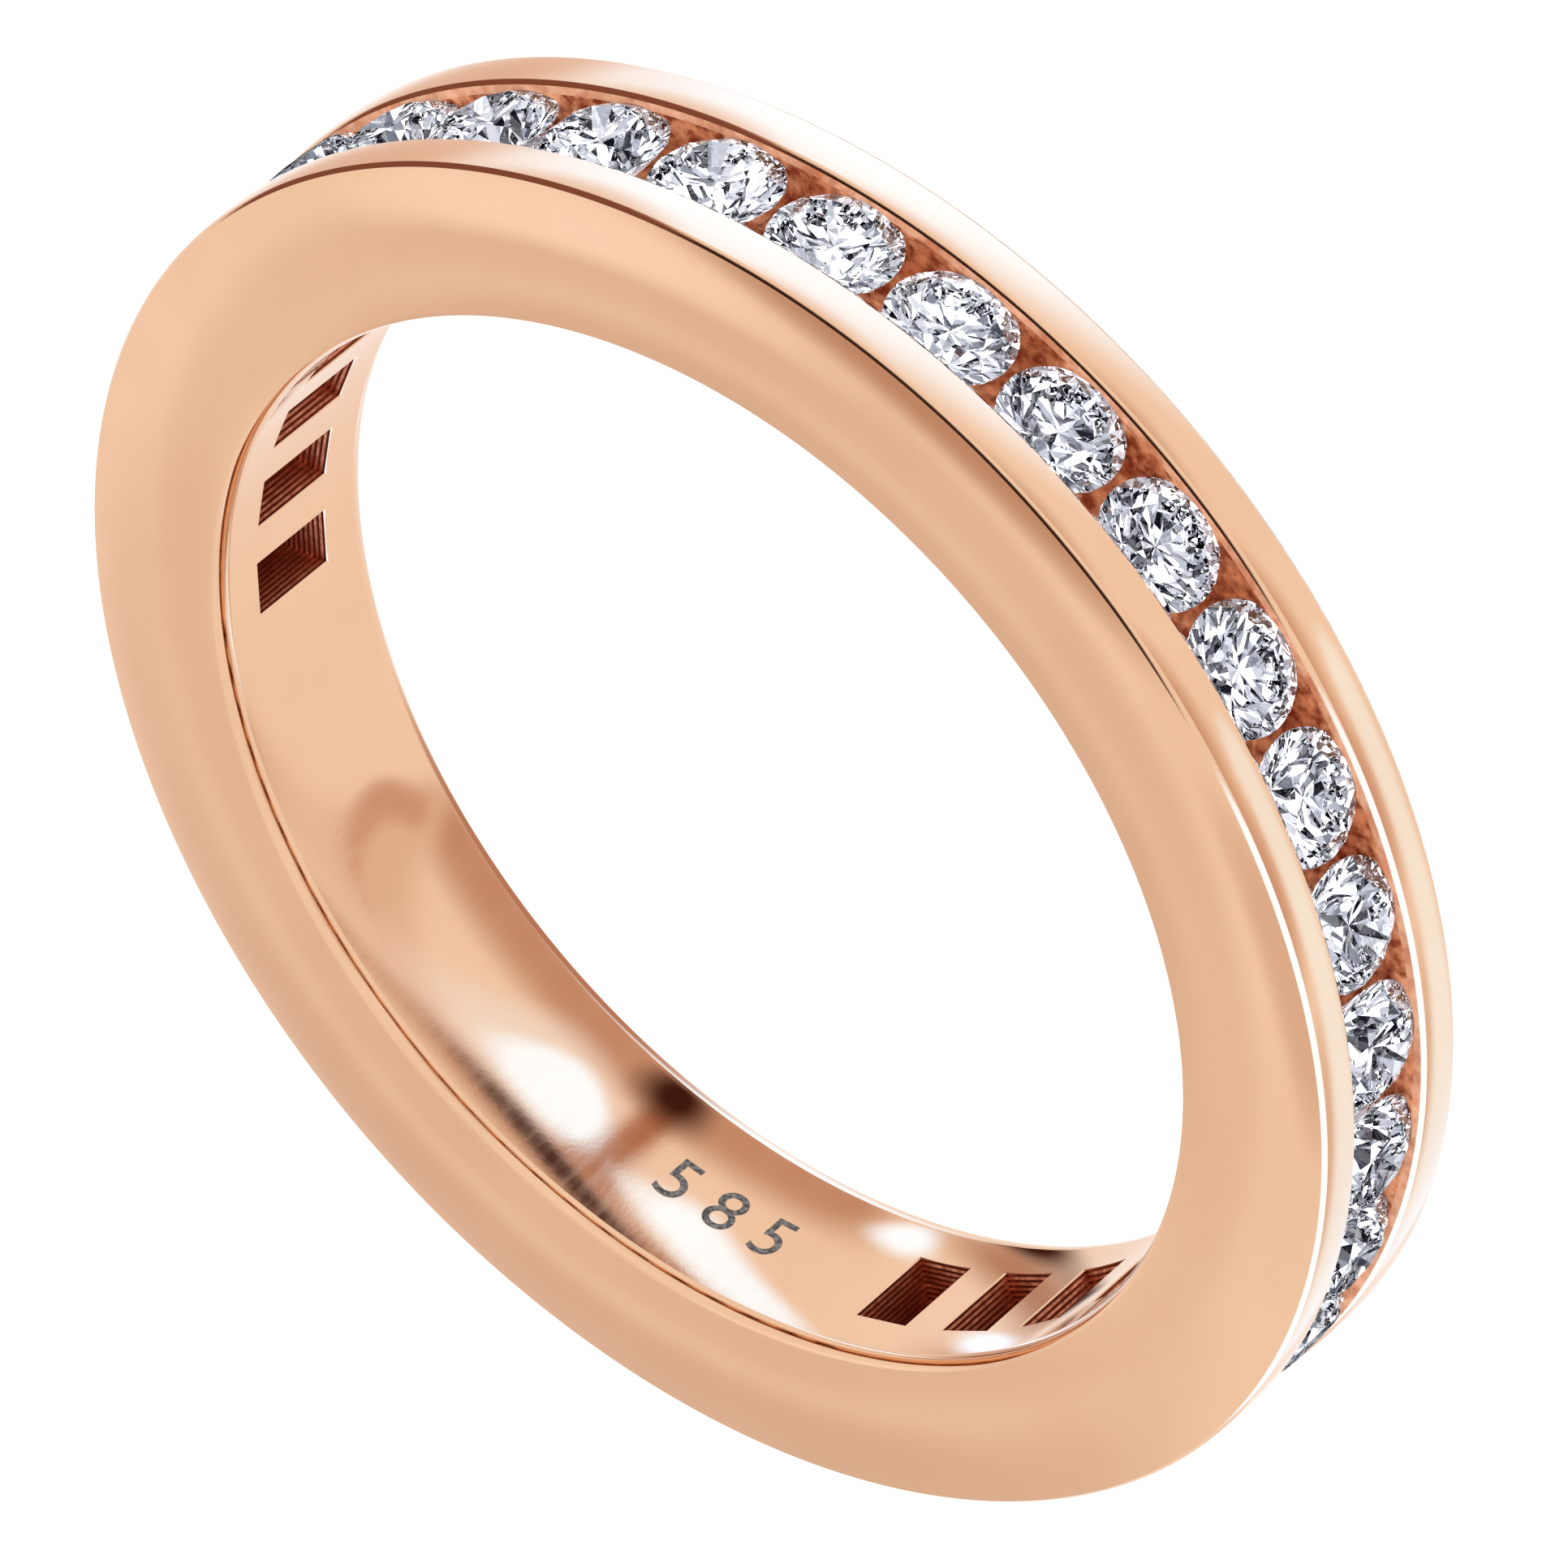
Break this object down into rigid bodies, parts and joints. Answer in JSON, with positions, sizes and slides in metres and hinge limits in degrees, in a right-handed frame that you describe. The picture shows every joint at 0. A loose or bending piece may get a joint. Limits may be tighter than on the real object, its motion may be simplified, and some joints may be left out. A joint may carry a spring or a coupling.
{
  "type": "wedding band",
  "caption": "Channel-set wedding band in rose gold: two polished rails hold a row of round brilliant stones round three quarters of the ring, with open windows to the bore.",
  "frame": {"origin": "centre of the finger bore, on the ring's mid-plane", "axes": "+Z along the finger bore's axis and up when the ring lies on its side; -Y points at the middle of the row of stones"},
  "size_m": [0.0218, 0.0218, 0.0034],
  "materials": {
    "rose_gold": "polished",
    "diamond": "polished"
  },
  "bodies": {
    "root": {"band": "rose_gold", "diamond_01": "diamond", "diamond_02": "diamond", "diamond_03": "diamond", "diamond_04": "diamond", "diamond_05": "diamond", "diamond_06": "diamond", "diamond_07": "diamond", "diamond_08": "diamond", "diamond_09": "diamond", "diamond_10": "diamond", "diamond_11": "diamond", "diamond_12": "diamond", "diamond_13": "diamond", "diamond_14": "diamond", "diamond_15": "diamond", "diamond_16": "diamond", "diamond_17": "diamond", "diamond_18": "diamond", "diamond_19": "diamond", "diamond_20": "diamond", "diamond_21": "diamond", "diamond_22": "diamond", "diamond_23": "diamond", "diamond_24": "diamond"}
  },
  "joints": []
}
